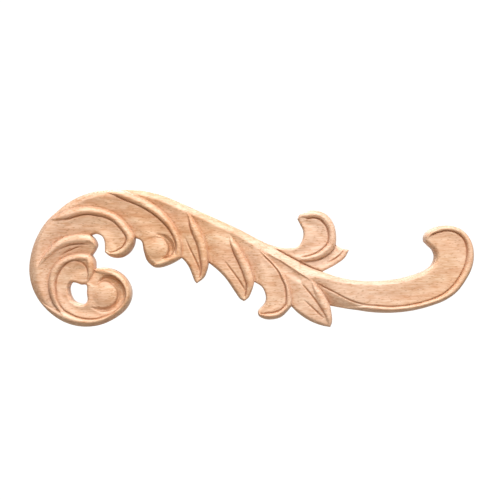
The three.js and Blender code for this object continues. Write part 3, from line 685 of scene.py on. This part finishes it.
# Inputs with the same name are told apart by number: those of the mixer are its share, the colour
# below and the colour above.
MIX = "ShaderNodeMix"
OVER = {"data_type": "RGBA", "blend_type": "MIX"}
TIMES = {"data_type": "RGBA", "blend_type": "MULTIPLY"}
colour = add(tree, MIX, OVER, {0: pink, 6: tone}, {7: linear("#ebc0a4")}).outputs[2]
colour = add(tree, MIX, OVER, {0: paler_ends, 6: colour}, {7: linear("#eccdb6")}).outputs[2]
colour = add(tree, MIX, TIMES, {6: colour, 7: streak}, {0: 1}).outputs[2]
colour = add(tree, MIX, OVER, {0: open_pore, 6: colour}, {7: linear("#a0642f")}).outputs[2]
# Painted shade, with a little dust: the grooves and the feet of the rims are mixed towards brown.
colour = add(tree, MIX, OVER, {0: dust_and_shade.outputs[0], 6: colour}, {7: linear("#96521c")}).outputs[2]
tree.links.new(colour, shader.inputs["Base Color"])
bump = add(
    tree, "ShaderNodeBump", links={"Height": fibre.outputs["Fac"]},
    values={"Strength": 0.15, "Distance": 0.2 * MM},
)
tree.links.new(bump.outputs["Normal"], shader.inputs["Normal"])
scroll_mesh.materials.append(wood)

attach(scroll, "root")
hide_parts("carved_scroll")


# The studio floor: boards under a coat of pale matt paint, far below the scroll. The panel stands
# on it, and it runs on well past the camera on every side.
FLOOR = -1.3
FLOOR_HALF = 12
floor_form = bmesh.new()
bmesh.ops.create_grid(floor_form, x_segments=4, y_segments=4, size=FLOOR_HALF)
bmesh.ops.translate(floor_form, verts=floor_form.verts, vec=(0, 0, FLOOR))
floor_mesh = bpy.data.meshes.new("floor")
floor_form.to_mesh(floor_mesh)
floor_form.free()
floor = bpy.data.objects.new("floor", floor_mesh)
bpy.context.collection.objects.link(floor)
paint = bpy.data.materials.new("pale_floor_paint")
paint.use_nodes = True
paint_shader = paint.node_tree.nodes["Principled BSDF"]
paint_shader.inputs["Base Color"].default_value = linear("#efe6da")
paint_shader.inputs["Roughness"].default_value = 0.9
floor_mesh.materials.append(paint)

# The panel: lit white acrylic that stands on the floor behind the scroll, as wide as the camera
# sees. It whitens the background and takes no shadow of the scroll.
PANEL_AWAY = 2.2
PANEL_HALF = 1.3
panel_form = bmesh.new()
bmesh.ops.create_grid(panel_form, x_segments=1, y_segments=1, size=PANEL_HALF)
upright = Matrix.Rotation(math.pi / 2, 4, "X")
bmesh.ops.transform(panel_form, matrix=upright, verts=panel_form.verts)
bmesh.ops.translate(panel_form, verts=panel_form.verts, vec=(0, PANEL_AWAY, FLOOR + PANEL_HALF))
panel_mesh = bpy.data.meshes.new("panel")
panel_form.to_mesh(panel_mesh)
panel_form.free()
panel = bpy.data.objects.new("panel", panel_mesh)
bpy.context.collection.objects.link(panel)
glow = bpy.data.materials.new("lit_white_acrylic")
glow.use_nodes = True
glow_shader = glow.node_tree.nodes["Principled BSDF"]
glow_shader.inputs["Base Color"].default_value = linear("#000000")
glow_shader.inputs["Emission Color"].default_value = linear("#ffffff")
glow_shader.inputs["Emission Strength"].default_value = 1.05
panel_mesh.materials.append(glow)

# The light: a soft box nearly overhead, which picks out the upper edges, one in front of it for
# the face of the carving, and one behind for the back. Each is given as its place, its breadth and
# height, its watts and its colour.
SOFT_BOXES = dict(
    overhead=((0.14, -0.35, 1), 0.8, 0.3, 12, (0.92, 0.95, 1.05)),
    front=((0.12, -1, 0.7), 0.6, 0.6, 12, (1, 1, 1)),
    rear=((-0.3, 0.9, 0.9), 0.6, 0.4, 9, (1, 1, 1)),
)
for name, (where, breadth, height, watts, tint) in SOFT_BOXES.items():
    lamp = bpy.data.lights.new(name, "AREA")
    lamp.shape = "RECTANGLE"
    lamp.size = breadth
    lamp.size_y = height
    lamp.energy = watts
    lamp.color = tint
    soft_box = bpy.data.objects.new(name, lamp)
    soft_box.location = where
    soft_box.rotation_euler = (-Vector(where)).to_track_quat("-Z", "Y").to_euler()
    bpy.context.collection.objects.link(soft_box)

# The room: walls in warm off-white paint all round, dimmer towards the ceiling, and nothing below
# the line where they meet the floor.
room = bpy.data.worlds.new("room")
room.use_nodes = True
walls = room.node_tree
background = walls.nodes["Background"]
background.inputs["Strength"].default_value = 0.55
direction = add(walls, "ShaderNodeTexCoord").outputs["Generated"]
upward = add(walls, "ShaderNodeSeparateXYZ", links={"Vector": direction}).outputs["Z"]
share_up = add(
    walls, "ShaderNodeMapRange", links={"Value": upward}, values={"From Min": -1, "From Max": 1},
).outputs["Result"]
wall_paint = add(walls, BAND, links={"Fac": share_up}, stops=[
    (0.44, linear("#000000")), (0.47, linear("#f7ead9")), (0.68, linear("#f7ead9")),
    (0.8, linear("#5a5148")),
])
walls.links.new(wall_paint.outputs["Color"], background.inputs["Color"])
bpy.context.scene.world = room
bpy.context.scene.view_settings.view_transform = "Standard"

# The camera looks straight at the front of the scroll. Its view is as wide as the whole
# photograph is at the scroll's own size.
VIEW_WIDTH = 371.2 * MM
AIM = (-0.93 * MM, -8 * MM, 6.2 * MM)
STAND_OFF = 620 * MM
lens = bpy.data.cameras.new("camera")
lens.sensor_fit = "HORIZONTAL"
lens.angle = 2 * math.atan(VIEW_WIDTH / 2 / STAND_OFF)
camera = bpy.data.objects.new("camera", lens)
camera.location = (AIM[0], AIM[1] - STAND_OFF, AIM[2])
camera.rotation_euler = (math.pi / 2, 0, 0)
bpy.context.collection.objects.link(camera)
bpy.context.scene.camera = camera
